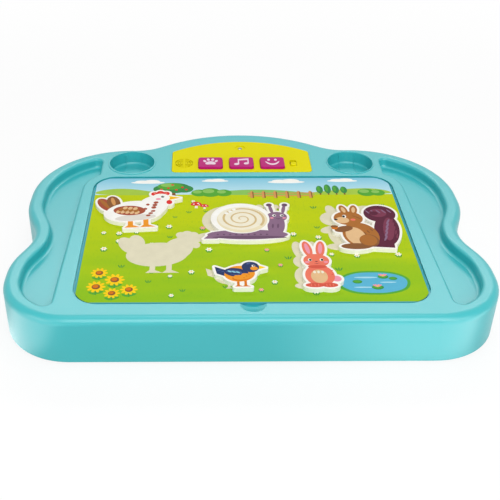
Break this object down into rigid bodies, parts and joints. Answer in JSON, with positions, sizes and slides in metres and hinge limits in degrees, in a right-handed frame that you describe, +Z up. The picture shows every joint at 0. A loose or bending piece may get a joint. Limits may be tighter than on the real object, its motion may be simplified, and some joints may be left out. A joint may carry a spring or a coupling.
{
  "type": "learning desk",
  "caption": "Tabletop learning desk for a child: waisted tray-sided shell with pen cups, a lift-out picture card, loose cut-out pieces and a sound panel with push buttons.",
  "frame": {"origin": "on the table under the middle of the desk's plan box", "axes": "+X to the right along the width, +Y to the back where the panel is, +Z up"},
  "size_m": [0.423, 0.3324, 0.0504],
  "materials": {
    "teal_shell": "moulded, satin",
    "teal_base": "moulded, fine texture",
    "panel_yellow": "moulded, satin",
    "button_magenta": "moulded, satin",
    "dome_silicone": "matt",
    "board_green": "solder mask",
    "chip_black": "matt",
    "steel": "zinc plated",
    "contact_metal": "nickel plated",
    "lamp_clear": "clear",
    "speaker_paper": "matt",
    "magnet_ferrite": "matt",
    "cell_wrap": "satin",
    "lead_red": "satin",
    "lead_black": "satin",
    "foot_rubber": "matt",
    "card_print": "satin print",
    "piece_board": "satin print"
  },
  "bodies": {
    "desk": {"top_shell": "teal_shell", "base_cover": "teal_base", "panel_fascia": "panel_yellow", "paw_dome": "dome_silicone", "music_dome": "dome_silicone", "smile_dome": "dome_silicone", "control_board": "board_green", "sound_chip": "chip_black", "switch_body": "steel", "board_screws": "steel", "case_screws": "steel", "lamp_chip": "chip_black", "lamp_lens": "lamp_clear", "speaker_frame": "steel", "speaker_cone": "speaker_paper", "speaker_magnet": "magnet_ferrite", "speaker_leads": "lead_black", "battery_cells": "cell_wrap", "battery_contacts": "contact_metal", "battery_lead_red": "lead_red", "battery_lead_black": "lead_black", "rubber_feet": "foot_rubber"},
    "paw_button": {"paw_button": "button_magenta"},
    "music_button": {"music_button": "button_magenta"},
    "smile_button": {"smile_button": "button_magenta"},
    "power_switch": {"switch_knob": "panel_yellow", "switch_lever": "chip_black"},
    "battery_door": {"battery_door": "teal_base", "door_screw": "steel"},
    "picture_card": {"picture_card": "card_print"},
    "hen": {"hen_piece": "piece_board"},
    "snail": {"snail_piece": "piece_board"},
    "squirrel": {"squirrel_piece": "piece_board"},
    "bird": {"bird_piece": "piece_board"},
    "rabbit": {"rabbit_piece": "piece_board"}
  },
  "joints": [
    {"name": "paw_press", "type": "slide", "parent": "desk", "child": "paw_button", "axis": [0, 0, -1], "range_m": [0, 0.002], "stiffness_N_per_m": 400, "springref_m": -0.002, "deforming": ["paw_dome"]},
    {"name": "music_press", "type": "slide", "parent": "desk", "child": "music_button", "axis": [0, 0, -1], "range_m": [0, 0.002], "stiffness_N_per_m": 400, "springref_m": -0.002, "deforming": ["music_dome"]},
    {"name": "smile_press", "type": "slide", "parent": "desk", "child": "smile_button", "axis": [0, 0, -1], "range_m": [0, 0.002], "stiffness_N_per_m": 400, "springref_m": -0.002, "deforming": ["smile_dome"]},
    {"name": "power_slide", "type": "slide", "parent": "desk", "child": "power_switch", "axis": [0, 1, 0], "range_m": [0, 0.0055]},
    {"name": "door_off", "type": "slide", "parent": "desk", "child": "battery_door", "axis": [0, 0, -1], "range_m": [0, 0.03]},
    {"name": "card_lift", "type": "slide", "parent": "desk", "child": "picture_card", "axis": [0, 0, 1], "range_m": [0, 0.06]},
    {"name": "hen_lift", "type": "slide", "parent": "picture_card", "child": "hen", "axis": [0, 0, 1], "range_m": [0, 0.04]},
    {"name": "snail_lift", "type": "slide", "parent": "picture_card", "child": "snail", "axis": [0, 0, 1], "range_m": [0, 0.04]},
    {"name": "squirrel_lift", "type": "slide", "parent": "picture_card", "child": "squirrel", "axis": [0, 0, 1], "range_m": [0, 0.04]},
    {"name": "bird_lift", "type": "slide", "parent": "picture_card", "child": "bird", "axis": [0, 0, 1], "range_m": [0, 0.04]},
    {"name": "rabbit_lift", "type": "slide", "parent": "picture_card", "child": "rabbit", "axis": [0, 0, 1], "range_m": [0, 0.04]}
  ]
}
